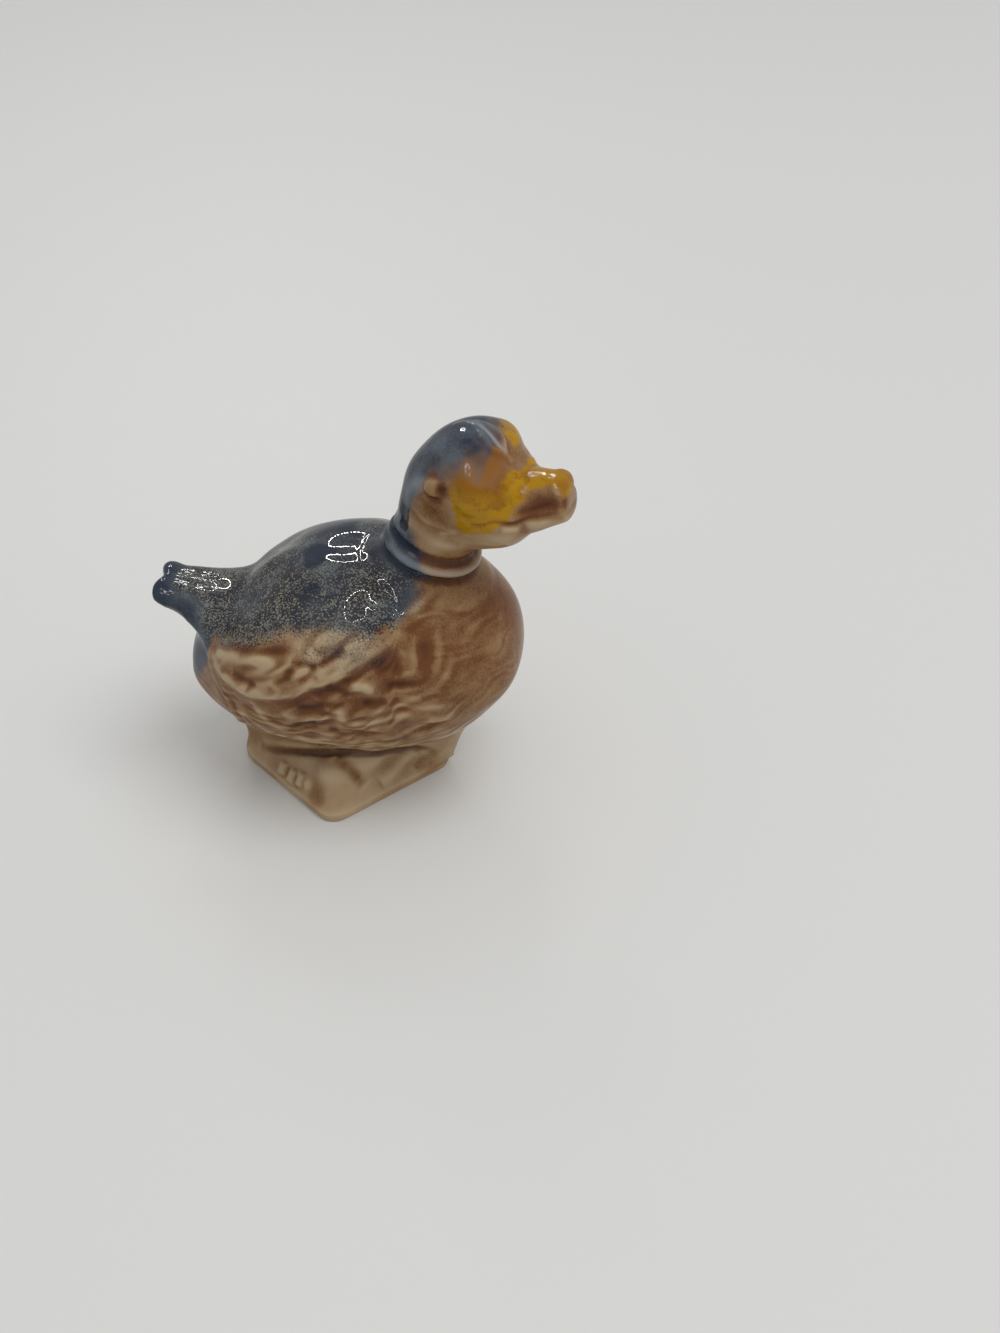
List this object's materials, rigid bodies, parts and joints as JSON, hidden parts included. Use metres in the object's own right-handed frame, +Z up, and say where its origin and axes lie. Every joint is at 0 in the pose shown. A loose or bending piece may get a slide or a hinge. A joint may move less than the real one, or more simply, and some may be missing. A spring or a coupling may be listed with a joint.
{
  "type": "duck figurine",
  "caption": "Small glazed porcelain duck sitting up on a lozenge-shaped plinth, with folded wings, an upturned tail, a ringed neck and a blunt bill.",
  "frame": {"origin": "middle of the bounding box's underside, on the plane that the plinth's rim stands on", "axes": "+X the way that the body faces, +Y the duck's left, +Z up"},
  "size_m": [0.035, 0.0196, 0.0351],
  "materials": {
    "cream_glaze": "pale cream body under a clear gloss glaze",
    "fawn_glaze": "brown wash pooled in the hollows under a clear gloss glaze",
    "slate_glaze": "sprayed speckled blue-grey under a clear gloss glaze",
    "yellow_glaze": "ochre yellow under a clear gloss glaze"
  },
  "bodies": {
    "root": {"plinth": "cream_glaze", "haunches": "fawn_glaze", "left_foot": "fawn_glaze", "right_foot": "fawn_glaze", "body": "fawn_glaze", "left_wing": "slate_glaze", "right_wing": "slate_glaze", "tail": "slate_glaze", "neck": "slate_glaze", "neck_ring": "slate_glaze", "head": "slate_glaze", "left_eye": "cream_glaze", "right_eye": "cream_glaze", "upper_bill": "yellow_glaze", "lower_bill": "cream_glaze"}
  },
  "joints": []
}
